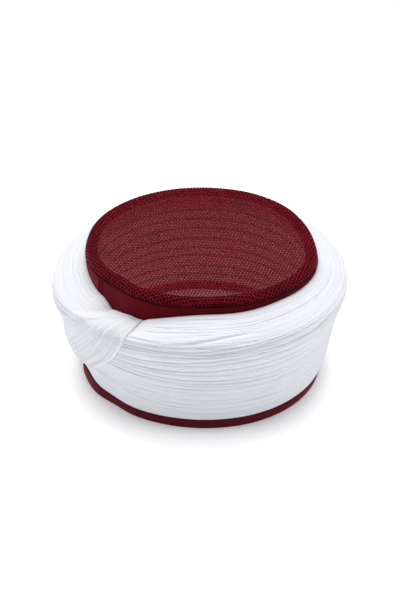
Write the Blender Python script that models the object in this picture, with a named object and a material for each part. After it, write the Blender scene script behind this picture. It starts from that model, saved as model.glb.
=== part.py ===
"""A wound turban: a drum shaped cap of dark red cloth with a net crown, and a long
white cloth wound round it in fine folds, its free end tucked in at the front left.

The cap stands on the plane z = 0, with the origin at the centre of the head
opening. The front is -Y, +X is to its right, and angles run from +X towards +Y,
so that 270 degrees is the front. Lengths are in metres.
"""
import bpy
import numpy as np
from math import radians

# The cap's wall and hem
HEM_RADIUS = 0.0980
TOP_RADIUS = 0.0940
WALL_HEIGHT = 0.1062
WALL_THICK = 0.0020
BINDING_HEIGHT = 0.0090
BINDING_THICK = 0.0016
CLEAR = 0.0003

# The inside of the cap
SWEATBAND_HEIGHT = 0.0156
SWEATBAND_THICK = 0.0018
TRIM_HEIGHT = 0.0044
TRIM_THICK = 0.0024
LINING_THICK = 0.0012
LINING_BELOW_TOP = 0.0006

# The padded roll on the wall's top edge, and the net over it, which drops from
# the roll to a slightly sagging disc
ROLL_WIDTH = 0.0078
ROLL_HEIGHT = 0.0050
NET_THICK = 0.0010
NET_OVERLAP = 0.0010
NET_BULGE = 0.0004
DISC_DROP = 0.0024
DISC_SAG = 0.0007

# The wound cloth: its greatest reach from the wall is at its shoulder
WRAP_REACH = 0.0252
SHOULDER_BELOW_TOP = 0.0212
WRAP_BELOW_NET = 0.0012
FOLD_DEPTH = 0.0017

# The tucked end of the cloth, with the gap below it and what the gap gains
# where it bends over the shoulder
TUCK_THICK = 0.0068
TUCK_THIN = 0.0006
TUCK_CLEAR = 0.0006
TUCK_CORNER_CLEAR = 0.0014
TUCK_EDGE_ROLL = 0.0030
TUCK_FOLD_DEPTH = 0.0013
TUCK_FOLDS = 6

# How finely the pieces are divided: round the cap, up the wall and along the
# tucked end. Wall levels nearer to an end of a band than this share of their
# pitch are left out.
SEGMENTS = 54
WALL_LEVELS = 3
TUCK_STATIONS = 34
NEAR_LEVEL = 0.25
SHARP_ANGLE = 40

# Finishes: colour and roughness
WALL_RED = ((0.070, 0.008, 0.014), 0.85)
BINDING_RED = ((0.070, 0.008, 0.014), 0.80)
NET_RED = ((0.125, 0.007, 0.014), 0.70)
TRIM_RED = ((0.045, 0.005, 0.009), 0.80)
ROLL_RED = ((0.045, 0.005, 0.009), 0.90)
LINING_TAN = ((0.42, 0.30, 0.26), 0.85)
BAND_GREY = ((0.62, 0.60, 0.58), 0.75)
CLOTH_WHITE = ((0.86, 0.87, 0.90), 0.85)

# The cap's outline from above: angle in degrees, and the radii of the hem and of
# the wall's top as shares of HEM_RADIUS and TOP_RADIUS. The wall has its upright
# seam at 212 degrees, with a flat stretch to its right.
OUTLINE_COLUMNS = ("angle", "hem", "top")
OUTLINE = (
    (0, 1.005, 0.955),
    (20, 1.003, 0.955),
    (45, 1.010, 1.000),
    (70, 1.018, 1.040),
    (95, 1.018, 1.043),
    (120, 1.010, 1.012),
    (145, 1.002, 0.975),
    (170, 1.000, 0.955),
    (190, 0.996, 0.957),
    (204, 0.993, 0.958),
    (212, 0.990, 0.957),
    (223, 0.967, 0.950),
    (238, 0.981, 0.980),
    (256, 0.987, 0.998),
    (275, 0.999, 1.000),
    (295, 1.010, 1.013),
    (318, 1.008, 1.013),
    (340, 1.003, 0.997),
)

# The padded roll's section: how far its flat underside goes to either side, as a
# share of its width, and the turns in degrees at which its round back has points.
ROLL_FOOT = 0.34
ROLL_TURNS = (-10, 25, 60, 95, 130, 165, 190)

# The net over the roll has rings at these turns, and then its disc starts at this
# share of the roll's half width from the roll's centre.
NET_TURNS = (10, 50, 90, 130)
DISC_START = 1.25

# The disc, from its border to its centre: the share of the way out to the roll,
# and how far it sags as a share of DISC_SAG.
DISC_COLUMNS = ("out", "sag")
DISC = (
    (0.80, 0.0),
    (0.42, 0.8),
    (0.00, 1.0),
)

# Half of the wound cloth's section. up runs from 0 at its bottom edge over 1 at
# the shoulder to 2 at its inner edge, and out is a share of WRAP_REACH.
SECTION_COLUMNS = ("up", "out")
SECTION = (
    (0.00, 0.158),
    (0.12, 0.270),
    (0.24, 0.375),
    (0.46, 0.525),
    (0.61, 0.630),
    (0.75, 0.765),
    (0.84, 0.860),
    (0.92, 0.940),
    (1.00, 0.985),
    (1.08, 1.000),
    (1.18, 0.965),
    (1.42, 0.740),
    (1.70, 0.390),
    (1.88, 0.150),
    (2.00, 0.020),
)

# The slope of the section is read between points this far to either side.
SLOPE_STEP = 0.04

# How the wound cloth changes round the cap: the height of its inner edge as a
# share of the highest it may come under the net, and its reach as a share of
# WRAP_REACH.
ROUND_COLUMNS = ("angle", "edge", "reach")
ROUND = (
    (0, 0.985, 1.000),
    (45, 0.980, 1.000),
    (90, 0.975, 1.000),
    (135, 0.970, 1.000),
    (180, 0.955, 1.015),
    (195, 0.925, 1.025),
    (208, 0.875, 1.020),
    (222, 0.825, 1.010),
    (238, 0.845, 1.005),
    (246, 0.875, 1.000),
    (256, 0.930, 1.000),
    (268, 0.965, 1.000),
    (285, 0.975, 1.000),
    (320, 0.985, 1.000),
)

# The main folds of the wound cloth, from the bottom edge (0) to the inner edge
# (1) of its section: where the fold lies, its depth as a share of FOLD_DEPTH,
# how far it wanders up and down, and where round the cap it is highest.
FOLD_COLUMNS = ("along", "depth", "wander", "crest_angle")
FOLDS = (
    (0.055, 0.5, 0.003, 250),
    (0.120, 0.7, 0.005, 262),
    (0.185, 0.6, 0.006, 270),
    (0.250, 0.9, 0.007, 280),
    (0.315, 0.7, 0.008, 288),
    (0.380, 1.0, 0.008, 296),
    (0.442, 0.8, 0.007, 304),
    (0.502, 1.0, 0.006, 310),
    (0.558, 1.3, 0.005, 314),
    (0.612, 1.2, 0.005, 320),
    (0.680, 0.7, 0.006, 330),
    (0.752, 1.1, 0.010, 340),
    (0.822, 1.4, 0.012, 345),
    (0.890, 1.1, 0.010, 350),
    (0.950, 0.9, 0.006, 350),
)

# The tucked end lies over the wound cloth. Each row is a station from its root
# to its tip, with the angle and the place on the section (0 bottom edge, 1 inner
# edge) of its upper and of its lower border, and there its thickness and the
# depth of its pleats as shares of TUCK_THICK and TUCK_FOLD_DEPTH.
TUCK_COLUMNS = (
    "station", "upper_angle", "upper_along", "lower_angle", "lower_along", "thick", "fold",
)
TUCK = (
    (0.00, 146, 0.420, 147, 0.32, 0.16, 0.16),
    (0.12, 166, 0.480, 170, 0.23, 0.56, 0.56),
    (0.24, 185, 0.530, 193, 0.21, 0.97, 0.97),
    (0.36, 199, 0.570, 209, 0.24, 1.00, 1.00),
    (0.48, 209, 0.640, 221, 0.32, 1.00, 1.00),
    (0.58, 215, 0.730, 229, 0.42, 1.00, 0.95),
    (0.68, 220, 0.830, 236, 0.54, 1.00, 0.80),
    (0.78, 226, 0.910, 240, 0.68, 1.00, 0.60),
    (0.89, 234, 0.955, 242, 0.82, 0.73, 0.35),
    (1.00, 242, 0.980, 244, 0.93, 0.40, 0.15),
)

# Across the tucked end: how bluntly it is rounded, how near to its borders that
# holds, and where its rolled lower border lies and how wide it is.
TUCK_ROUNDNESS = 0.5
TUCK_BORDER = 0.02
EDGE_ROLL_PLACE = 0.94
EDGE_ROLL_SPREAD = 0.05

# How far along the section the gap at the shoulder is felt
CORNER_SPREAD = 0.05

SHOULDER_HEIGHT = WALL_HEIGHT - SHOULDER_BELOW_TOP


def clear_scene():
    """Remove every object that the file already holds."""
    for item in list(bpy.data.objects):
        bpy.data.objects.remove(item, do_unlink=True)


def column(table, names, name):
    """One column of a table, by its name."""
    place = names.index(name)
    return np.array([row[place] for row in table], float)


def smooth(at, knots, values):
    """A smooth curve through the values: cubic pieces whose slope at each knot is
    that of the line between its two neighbours."""
    slope = np.gradient(values, knots)
    piece = np.clip(np.searchsorted(knots, at, side="right") - 1, 0, len(knots) - 2)
    width = knots[piece + 1] - knots[piece]
    s = (at - knots[piece]) / width
    start = (2 * s ** 3 - 3 * s ** 2 + 1) * values[piece]
    end = (3 * s ** 2 - 2 * s ** 3) * values[piece + 1]
    leave = (s ** 3 - 2 * s ** 2 + s) * width * slope[piece]
    arrive = (s ** 3 - s ** 2) * width * slope[piece + 1]
    return start + end + leave + arrive


def around(table, names, name, angle):
    """A column of a table read at any angle, in degrees, round the closed ring."""
    knots = column(table, names, "angle")
    values = column(table, names, name)
    knots = np.concatenate([knots - 360, knots, knots + 360])
    return smooth(np.mod(angle, 360), knots, np.tile(values, 3))


def wall_radius(angle, height):
    """Outer radius of the cap's wall, straight from the hem to its top."""
    hem = HEM_RADIUS * around(OUTLINE, OUTLINE_COLUMNS, "hem", angle)
    low = hem - BINDING_THICK - CLEAR
    high = TOP_RADIUS * around(OUTLINE, OUTLINE_COLUMNS, "top", angle)
    return low + (high - low) * height / WALL_HEIGHT


def ring_points(angle, radius, height):
    """Points of a ring, from their angle in degrees, radius and height."""
    turn = np.radians(angle)
    flat = np.ones_like(turn) * radius
    return np.stack([flat * np.cos(turn), flat * np.sin(turn), height + 0 * flat], -1)


def wrap_top():
    """The highest that the wound cloth comes, just under the net's sewn edge."""
    return WALL_HEIGHT - NET_OVERLAP - WRAP_BELOW_NET


def wrap_section(angle, along):
    """Radius and height of the wound cloth's outer form, folds aside."""
    up_rows = column(SECTION, SECTION_COLUMNS, "up")
    out_rows = column(SECTION, SECTION_COLUMNS, "out")
    up = smooth(along, section_places(), up_rows)
    out = smooth(along, section_places(), out_rows)
    bottom = BINDING_HEIGHT + CLEAR
    edge = wrap_top() * around(ROUND, ROUND_COLUMNS, "edge", angle)
    side = bottom + np.minimum(up, 1) * (SHOULDER_HEIGHT - bottom)
    height = side + np.maximum(up - 1, 0) * (edge - SHOULDER_HEIGHT)
    reach = WRAP_REACH * around(ROUND, ROUND_COLUMNS, "reach", angle)
    return wall_radius(angle, height) + CLEAR + out * reach, height


def section_places():
    """The section's rows as shares of its length, from bottom edge to inner edge."""
    up = column(SECTION, SECTION_COLUMNS, "up")
    out = column(SECTION, SECTION_COLUMNS, "out") * WRAP_REACH
    side = np.minimum(up, 1) * SHOULDER_HEIGHT
    height = side + np.maximum(up - 1, 0) * (wrap_top() - SHOULDER_HEIGHT)
    steps = np.hypot(np.diff(height), np.diff(out))
    places = np.concatenate([[0], np.cumsum(steps)])
    return places / places[-1]


def wrap_point(angle, along, lift):
    """A point on the wound cloth's form, raised by lift square to its section."""
    radius, height = wrap_section(angle, along)
    ahead_r, ahead_z = wrap_section(angle, np.minimum(along + SLOPE_STEP, 1))
    behind_r, behind_z = wrap_section(angle, np.maximum(along - SLOPE_STEP, 0))
    run, rise = ahead_r - behind_r, ahead_z - behind_z
    length = np.hypot(run, rise)
    return ring_points(angle, radius + lift * rise / length, height - lift * run / length)


def wrap_facet_point(angle, along, lift):
    """A point on the flat stretch between two of the wound cloth's columns."""
    pitch = 360 / SEGMENTS
    before = np.floor(angle / pitch) * pitch
    share = ((angle - before) / pitch)[..., None]
    left = wrap_point(before, along, lift)
    right = wrap_point(before + pitch, along, lift)
    return left + (right - left) * share


def closed_faces(rows, columns):
    """Quads of a grid that closes in both directions, as a ring does."""
    i, j = np.meshgrid(np.arange(rows), np.arange(columns), indexing="ij")
    down, across = (i + 1) % rows, (j + 1) % columns
    quads = [i * columns + j, i * columns + across, down * columns + across, down * columns + j]
    return np.stack(quads, -1).reshape(-1, 4)


def add_piece(name, points, faces, finish):
    """An object from points and faces, with outward faces and its own material."""
    mesh = bpy.data.meshes.new(name)
    mesh.from_pydata(points.reshape(-1, 3).tolist(), [], [list(face) for face in faces])
    mesh.update()
    if signed_volume(mesh) < 0:
        mesh.flip_normals()
    mesh.shade_smooth()
    mesh.set_sharp_from_angle(angle=radians(SHARP_ANGLE))
    mesh.materials.append(make_material(name, *finish))
    piece = bpy.data.objects.new(name, mesh)
    bpy.context.scene.collection.objects.link(piece)
    return piece


def signed_volume(mesh):
    """Volume inside a closed mesh, negative where its faces point inwards."""
    total = 0.0
    for face in mesh.polygons:
        corners = [mesh.vertices[index].co for index in face.vertices]
        for second, third in zip(corners[1:], corners[2:]):
            total += corners[0].dot(second.cross(third)) / 6
    return total


def make_material(name, colour, roughness, metallic=0.0):
    """A Principled material with one colour, roughness and metallic value."""
    material = bpy.data.materials.new(name)
    material.use_nodes = True
    shader = material.node_tree.nodes["Principled BSDF"]
    shader.inputs["Base Color"].default_value = (*colour, 1.0)
    shader.inputs["Roughness"].default_value = roughness
    shader.inputs["Metallic"].default_value = metallic
    return material


def ring_angles():
    """The angles in degrees at which every ring has its points."""
    return np.arange(SEGMENTS) * 360 / SEGMENTS


def make_ring(name, section, finish):
    """A ring whose section is a list of (radius, height) going once round it."""
    rows = [ring_points(ring_angles(), radius, height) for radius, height in section]
    return add_piece(name, np.array(rows), closed_faces(len(rows), SEGMENTS), finish)


def levels_between(low, high):
    """Heights from low to high, with the wall's own levels that lie between: bands
    that share their levels bend alike, and so keep their gap."""
    own = np.arange(1, WALL_LEVELS) * WALL_HEIGHT / WALL_LEVELS
    near = WALL_HEIGHT / WALL_LEVELS * NEAR_LEVEL
    return [low] + [level for level in own if low + near < level < high - near] + [high]


def band_section(outer_gap, thick, low, high):
    """Section of a straight band inside or outside the wall: outer_gap is how far
    its outer face stands outside the wall's."""
    levels = levels_between(low, high)
    outer = [(wall_radius(ring_angles(), level) + outer_gap, level) for level in levels]
    inner = [(radius - thick, level) for radius, level in outer]
    return outer + inner[::-1]


def make_cap_wall():
    """The cap's cloth wall, open at the bottom and under the net."""
    return make_ring("cap_wall", band_section(0, WALL_THICK, 0, WALL_HEIGHT), WALL_RED)


def make_hem_binding():
    """The strip that binds the wall's bottom edge on the outside."""
    out = CLEAR + BINDING_THICK
    section = band_section(out, BINDING_THICK, 0, BINDING_HEIGHT)
    return make_ring("hem_binding", section, BINDING_RED)


def make_inside_bands():
    """The sweatband, the trim along its top edge and the lining above them."""
    inside = -WALL_THICK - CLEAR
    trim_low = SWEATBAND_HEIGHT + CLEAR
    trim_high = trim_low + TRIM_HEIGHT
    lining_high = WALL_HEIGHT - LINING_BELOW_TOP
    sweatband = band_section(inside, SWEATBAND_THICK, 0, SWEATBAND_HEIGHT)
    trim = band_section(inside, TRIM_THICK, trim_low, trim_high)
    lining = band_section(inside, LINING_THICK, trim_high + CLEAR, lining_high)
    make_ring("sweatband", sweatband, BAND_GREY)
    make_ring("sweatband_trim", trim, TRIM_RED)
    make_ring("lining", lining, LINING_TAN)


def roll_centre():
    """Radius and height of the centre of the padded roll's section."""
    radius = wall_radius(ring_angles(), WALL_HEIGHT) - ROLL_WIDTH / 2
    return radius, WALL_HEIGHT + CLEAR + ROLL_HEIGHT / 2


def make_rim_roll():
    """The padded roll on the wall's top edge: an oval section, flat underneath."""
    radius, height = roll_centre()
    low = WALL_HEIGHT + CLEAR
    foot = ROLL_WIDTH * ROLL_FOOT
    section = [(radius + foot, low)]
    for turn in ROLL_TURNS:
        out = ROLL_WIDTH / 2 * np.cos(radians(turn))
        up = ROLL_HEIGHT / 2 * np.sin(radians(turn))
        section.append((radius + out, height + up))
    section.append((radius - foot, low))
    return make_ring("rim_roll", section, ROLL_RED)


def net_rings(gap):
    """Rings of one side of the net, from its sewn edge over the roll to the disc,
    with the height of its centre: gap is how far that side lies outside the roll."""
    centre, middle = roll_centre()
    wide, tall = ROLL_WIDTH / 2 + gap, ROLL_HEIGHT / 2 + gap
    edge = WALL_HEIGHT - NET_OVERLAP
    disc = WALL_HEIGHT + CLEAR + ROLL_HEIGHT + gap - DISC_DROP
    rings = [(centre + wide, edge), (centre + wide + NET_BULGE, (edge + middle) / 2)]
    for turn in NET_TURNS:
        rings.append((centre + wide * np.cos(radians(turn)), middle + tall * np.sin(radians(turn))))
    rings.append((centre - wide * DISC_START, disc + DISC_SAG))
    out, sag = (column(DISC, DISC_COLUMNS, name) for name in DISC_COLUMNS)
    rings += [(centre * share, disc - DISC_SAG * drop) for share, drop in zip(out, sag)]
    return rings[:-1], rings[-1][1]


def make_net_crown():
    """The net crown: one closed shell, its outer and inner side joined at the
    sewn edge, and each side closed by a fan at its centre."""
    outer, outer_pole = net_rings(CLEAR + NET_THICK)
    inner, inner_pole = net_rings(CLEAR)
    rings = outer[::-1] + inner
    rows = np.array([ring_points(ring_angles(), radius, height) for radius, height in rings])
    poles = np.array([[0, 0, outer_pole], [0, 0, inner_pole]])
    points = np.concatenate([rows.reshape(-1, 3), poles])
    faces = [list(face) for face in closed_faces(len(rings), SEGMENTS)[:-SEGMENTS]]
    top, bottom = len(points) - 2, len(points) - 1
    last = (len(rings) - 1) * SEGMENTS
    for here in range(SEGMENTS):
        ahead = (here + 1) % SEGMENTS
        faces.append([top, ahead, here])
        faces.append([bottom, last + here, last + ahead])
    return add_piece("net_crown", points, faces, NET_RED)


def fold_places(angle):
    """Where each main fold lies along the section at each angle."""
    along = column(FOLDS, FOLD_COLUMNS, "along")[:, None]
    wander = column(FOLDS, FOLD_COLUMNS, "wander")[:, None]
    crest = column(FOLDS, FOLD_COLUMNS, "crest_angle")[:, None]
    return along + wander * np.cos(np.radians(angle[None, :] - crest))


def make_wrap():
    """The wound cloth: grooves sunk along the main folds and crests between them,
    on a ring that closes along the wall."""
    angle = ring_angles()
    grooves = fold_places(angle)
    depths = column(FOLDS, FOLD_COLUMNS, "depth") * FOLD_DEPTH
    edges = np.concatenate([np.zeros((1, SEGMENTS)), grooves, np.ones((1, SEGMENTS))])
    crests = (edges[:-1] + edges[1:]) / 2
    rows = [wrap_point(angle, edges[0], 0)]
    for index, crest in enumerate(crests):
        rows.append(wrap_point(angle, crest, 0))
        if index < len(depths):
            rows.append(wrap_point(angle, grooves[index], -depths[index]))
    rows.append(wrap_point(angle, edges[-1], 0))
    for level in levels_between(BINDING_HEIGHT + CLEAR, SHOULDER_HEIGHT)[::-1]:
        rows.append(ring_points(angle, wall_radius(angle, level) + CLEAR, level))
    return add_piece("wrap", np.array(rows), closed_faces(len(rows), SEGMENTS), CLOTH_WHITE)


def tuck_values(station):
    """The tucked end's borders, thickness and fold depth at a station along it."""
    knots = column(TUCK, TUCK_COLUMNS, "station")
    return [smooth(station, knots, column(TUCK, TUCK_COLUMNS, name)) for name in TUCK_COLUMNS[1:]]


def tuck_thickness(across, thick, fold):
    """Thickness across the tucked end: round, pleated, with a rolled lower border."""
    inside = np.clip(across, TUCK_BORDER, 1 - TUCK_BORDER)
    round_off = np.sin(np.pi * inside) ** TUCK_ROUNDNESS
    valley = 0.5 + 0.5 * np.cos(2 * np.pi * across * (TUCK_FOLDS + 1))
    edge_roll = np.exp(-((across - EDGE_ROLL_PLACE) / EDGE_ROLL_SPREAD) ** 2)
    body = TUCK_THICK * thick - TUCK_FOLD_DEPTH * fold * valley
    return np.maximum(body * round_off + TUCK_EDGE_ROLL * thick * edge_roll, TUCK_THIN)


def tuck_gap(along):
    """The gap under the tucked end, wider where it bends over the shoulder."""
    shoulder = section_places()[np.argmax(column(SECTION, SECTION_COLUMNS, "out"))]
    return TUCK_CLEAR + TUCK_CORNER_CLEAR * np.exp(-((along - shoulder) / CORNER_SPREAD) ** 2)


def make_tuck():
    """The tucked end: a pad over the wound cloth, thin at its root and borders,
    with two points across it for each pleat."""
    station = np.linspace(0, 1, TUCK_STATIONS)[:, None]
    across = np.linspace(0, 1, 2 * (TUCK_FOLDS + 1) + 1)[None, :]
    upper_angle, upper_along, lower_angle, lower_along, thick, fold = tuck_values(station)
    angle = upper_angle + (lower_angle - upper_angle) * across
    along = upper_along + (lower_along - upper_along) * across
    gap = tuck_gap(along)
    under = wrap_facet_point(angle, along, gap)
    over = wrap_facet_point(angle, along, gap + tuck_thickness(across, thick, fold))
    points = np.concatenate([over.reshape(-1, 3), under.reshape(-1, 3)])
    return add_piece("tuck", points, sheet_faces(station.size, across.size), CLOTH_WHITE)


def sheet_faces(rows, columns):
    """Faces of a closed slab made of two grids, the second lying under the first."""
    i, j = np.meshgrid(np.arange(rows - 1), np.arange(columns - 1), indexing="ij")
    corner = (i * columns + j).ravel()
    top = np.stack([corner, corner + 1, corner + columns + 1, corner + columns], -1)
    below = rows * columns
    border = list(range(columns)) + [row * columns + columns - 1 for row in range(1, rows)]
    border += [(rows - 1) * columns + place for place in range(columns - 2, -1, -1)]
    border += [row * columns for row in range(rows - 2, 0, -1)]
    walls = [[b, a, a + below, b + below] for a, b in zip(border, border[1:] + border[:1])]
    return top.tolist() + (top[:, ::-1] + below).tolist() + walls


def make_turban():
    """Make every piece of the turban in an emptied scene."""
    clear_scene()
    make_cap_wall()
    make_hem_binding()
    make_inside_bands()
    make_rim_roll()
    make_net_crown()
    make_wrap()
    make_tuck()


make_turban()
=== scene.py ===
# %% [markdown]
# # A wound turban with a net crown
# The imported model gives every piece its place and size. This lesson dresses it: each
# cloth becomes a surface worked out with numpy, and each finish a small pattern of
# shader nodes. Lengths are metres, +Z is up, the front looks along -Y, and angles
# run from +X towards +Y, so that 270 degrees is the middle of the front.

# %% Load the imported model
import bpy
import numpy as np
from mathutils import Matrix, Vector


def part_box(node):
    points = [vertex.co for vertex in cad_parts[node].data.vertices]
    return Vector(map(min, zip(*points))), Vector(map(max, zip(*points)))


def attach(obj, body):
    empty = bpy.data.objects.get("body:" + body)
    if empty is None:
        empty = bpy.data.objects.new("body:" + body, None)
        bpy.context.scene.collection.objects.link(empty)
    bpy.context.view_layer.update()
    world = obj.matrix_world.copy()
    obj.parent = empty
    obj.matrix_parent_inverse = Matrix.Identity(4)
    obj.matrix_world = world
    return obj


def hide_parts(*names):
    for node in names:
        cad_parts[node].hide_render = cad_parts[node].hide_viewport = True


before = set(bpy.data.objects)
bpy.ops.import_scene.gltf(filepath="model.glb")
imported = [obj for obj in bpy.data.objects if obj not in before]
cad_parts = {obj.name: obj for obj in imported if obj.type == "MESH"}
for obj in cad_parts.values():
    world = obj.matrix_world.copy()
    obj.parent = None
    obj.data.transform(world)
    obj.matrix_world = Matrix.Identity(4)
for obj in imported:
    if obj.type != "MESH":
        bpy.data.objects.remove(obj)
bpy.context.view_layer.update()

# %% [markdown]
# The camera comes first, so that every later step can be looked at. The photograph
# looks down on the turban by about 30 degrees, from nearly a metre away, through a
# lens long enough that the oval of the crown and the oval of the hem look alike.

# %% Camera
AIM = Vector((-0.0006, -0.004, 0.0595))
LOOK_DOWN = np.radians(30.42)
DISTANCE = 1.022
LENS_MM = 75.54
SENSOR_MM = 36

camera = bpy.data.objects.new("camera", bpy.data.cameras.new("camera"))
bpy.context.scene.collection.objects.link(camera)
camera.data.lens = LENS_MM
camera.data.sensor_width = SENSOR_MM
camera.location = AIM + Vector((0, -np.cos(LOOK_DOWN), np.sin(LOOK_DOWN))) * DISTANCE
camera.rotation_euler = (AIM - camera.location).to_track_quat("-Z", "Y").to_euler()
bpy.context.scene.camera = camera
print("camera at", [round(v, 3) for v in camera.location])

# %% [markdown]
# A mesh can be filled point by point, but whole arrays are faster and easier to
# check. Every piece here but the net is a grid: rows of points, each row joined to
# the next. A ring closes across its columns, and a section that goes all the way
# round closes across its rows as well. The same grid carries a UV map in metres, so
# that a weave keeps its size. Which way the faces look follows from the volume that
# they enclose, so a shell that comes out inside out is simply turned.

# %% Grids and meshes
def grid_faces(rows, columns, close_rows=True):
    """Quads of a grid that closes across its columns, and for each corner its row
    and column, not wrapped round."""
    i = np.arange(rows if close_rows else rows - 1)[:, None]
    j = np.arange(columns)[None, :]
    steps = ((0, 0), (0, 1), (1, 1), (1, 0))
    places = [(i + down + 0 * j, j + across + 0 * i) for down, across in steps]
    places = np.stack([np.stack(place, -1) for place in places], 2).reshape(-1, 4, 2)
    return (places[..., 0] % rows) * columns + places[..., 1] % columns, places


def volume_of(points, quads):
    """Volume inside a closed shell: the sum of the wedges from the origin to its
    triangles. It is negative where the faces look inwards."""
    a, b, c, d = (points[quads[:, k]] for k in range(4))
    wedges = (a * np.cross(b, c)).sum(-1) + (a * np.cross(c, d)).sum(-1)
    return wedges.sum() / 6


def set_tone(piece, tone):
    """Store a number for each point of a mesh, which its finish can read as tone."""
    layer = piece.data.attributes.new("tone", "FLOAT", "POINT")
    layer.data.foreach_set("value", np.asarray(tone, np.float32).ravel())


def make_mesh(name, points, quads, uv=None):
    """A smooth shaded object from points, quads and a UV pair for each corner. A
    shell whose faces look inwards is turned."""
    volume = volume_of(points, quads)
    if volume < 0:
        quads, uv = quads[:, ::-1], None if uv is None else uv[:, ::-1]
    mesh = bpy.data.meshes.new(name)
    mesh.vertices.add(len(points))
    mesh.vertices.foreach_set("co", points.astype(np.float32).ravel())
    mesh.loops.add(quads.size)
    mesh.loops.foreach_set("vertex_index", quads.astype(np.int32).ravel())
    mesh.polygons.add(len(quads))
    mesh.polygons.foreach_set("loop_start", np.arange(0, quads.size, 4, dtype=np.int32))
    mesh.update(calc_edges=True)
    if uv is not None:
        mesh.uv_layers.new(name="cloth").data.foreach_set("uv", uv.astype(np.float32).ravel())
    mesh.validate()
    mesh.shade_smooth()
    piece = bpy.data.objects.new(name, mesh)
    bpy.context.scene.collection.objects.link(piece)
    triangles = len(mesh.loops) - 2 * len(mesh.polygons)
    print(f"{name}: {triangles} triangles, {abs(volume) * 1e6:.1f} cubic cm")
    return piece


def make_ring(name, points):
    """A grid closed both ways as an object, its UV running in metres along both."""
    quads, places = grid_faces(*points.shape[:2])
    down = np.linalg.norm(np.roll(points, -1, 0) - points, axis=-1).mean(1)
    across = np.linalg.norm(np.roll(points, -1, 1) - points, axis=-1).mean(0)
    v = np.concatenate([[0], np.cumsum(down)])[places[..., 0]]
    u = np.concatenate([[0], np.cumsum(across)])[places[..., 1]]
    return make_mesh(name, points.reshape(-1, 3), quads, np.stack([u, v], -1))


# %% [markdown]
# The cap isn't quite round: the cloth was cut and sewn by hand. Its outline is read
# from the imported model, at the angles where that has points, and written as a sum
# of waves round the ring, which is smooth at every angle in between.

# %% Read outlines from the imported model
WAVES = 20
COLUMN_ANGLES = 54
EDGE_DEEP = 0.001


def polar(points):
    """Angle in degrees and distance from the middle, for rows of x, y and so on."""
    x, y = points[..., 0], points[..., 1]
    return np.degrees(np.arctan2(y, x)), np.hypot(x, y)


def read_points(piece):
    """A piece's points as angle in degrees, radius and height."""
    points = np.empty(len(piece.data.vertices) * 3, np.float32)
    piece.data.vertices.foreach_get("co", points)
    points = points.reshape(-1, 3).astype(float)
    angle, radius = polar(points)
    return angle % 360, radius, points[:, 2]


def read_ring(angle, value, keep, largest=True):
    """The largest or smallest value at each column of a ring, as a smooth function
    of the angle: r(a) = the real part of the sum over k of c_k exp(i k a)."""
    column = np.rint(angle[keep] * COLUMN_ANGLES / 360).astype(int) % COLUMN_ANGLES
    found = np.full(COLUMN_ANGLES, -np.inf if largest else np.inf)
    (np.maximum if largest else np.minimum).at(found, column, value[keep])
    waves = np.fft.rfft(found)[:WAVES + 1] / COLUMN_ANGLES
    waves[1:] *= 2
    order = np.arange(WAVES + 1)

    def ring(at):
        turn = np.exp(1j * np.radians(np.asarray(at, float))[..., None] * order)
        return (turn * waves).sum(-1).real
    return ring


wall_angle, wall_r, wall_z = read_points(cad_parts["cap_wall"])
roll_angle, roll_r, roll_z = read_points(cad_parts["rim_roll"])
wrap_angle, wrap_r, wrap_z = read_points(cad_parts["wrap"])
WALL_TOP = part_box("cap_wall")[1].z
ROLL_LOW, ROLL_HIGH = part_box("rim_roll")[0].z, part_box("rim_roll")[1].z
hem_outline = read_ring(wall_angle, wall_r, wall_z < EDGE_DEEP)
packed_top = read_ring(wall_angle, wall_r, wall_z > WALL_TOP - EDGE_DEEP)
roll_outer = read_ring(roll_angle, roll_r, roll_z > ROLL_LOW + EDGE_DEEP)
roll_inner = read_ring(roll_angle, roll_r, roll_z > ROLL_LOW + EDGE_DEEP, largest=False)
wrap_outer = read_ring(wrap_angle, wrap_r, wrap_z > 0.0)
packed_edge = read_ring(wrap_angle, wrap_z, wrap_z > 0.0)


def turned_from(middle, angle):
    """How far an angle is turned from another, from -180 to 180 degrees."""
    return (angle - middle + 180) % 360 - 180


def bell(value, middle, width):
    """1 at the middle and little past the width: exp(-((v - middle) / width)^2)."""
    return np.exp(-((value - middle) / width) ** 2)


def near(angle, middle, width):
    """A bell round an angle."""
    return bell(turned_from(middle, angle), 0, width)


def bells(angle, table):
    """A sum of bells, given as rows of their height, angle and width."""
    return sum(height * near(angle, middle, width) for height, middle, width in table)


# The crown reaches further at the back, most of all at the back left.
CROWN_FULLER = ((0.0018, 128, 30), (0.0008, 90, 45), (0.0009, 60, 17), (0.0008, 38, 18),
                (0.0011, 154, 17))


def top_outline(angle):
    """The wall's outer radius at its top."""
    return packed_top(angle) + bells(angle, CROWN_FULLER)


def wall_radius(angle, height):
    """The wall's outer radius: straight from the hem's outline to the top's."""
    share = height / WALL_TOP
    return hem_outline(angle) * (1 - share) + top_outline(angle) * share


print("hem at the front:", round(float(hem_outline(270)) * 1000, 1), "mm")

# %% [markdown]
# Rings are carried profiles: a section, given as an offset outwards from the wall
# and a height, goes round the outline. Slow waves with a fixed seed keep hand sewn
# cloth from looking turned on a lathe.

# %% Profiles round the outline
CORNER_POINTS = 4


def ring_angles(columns):
    """The angles of a ring's columns, starting at the back."""
    return 90 + np.arange(columns) * 360 / columns


def ring_grid(angle, radius, height):
    """Points of a ring from its angle in degrees, radius and height."""
    turn = np.radians(angle)
    return np.stack([radius * np.cos(turn), radius * np.sin(turn), height + 0 * radius], -1)


def lifted(angle, place, ahead, behind, lift):
    """Points lifted square to their section, to the right of the way that it runs.
    place, ahead and behind are radius and height at a point and on both its sides."""
    run, rise = ahead[0] - behind[0], ahead[1] - behind[1]
    size = np.hypot(run, rise)
    return ring_grid(angle, place[0] + lift * rise / size, place[1] - lift * run / size)


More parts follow.
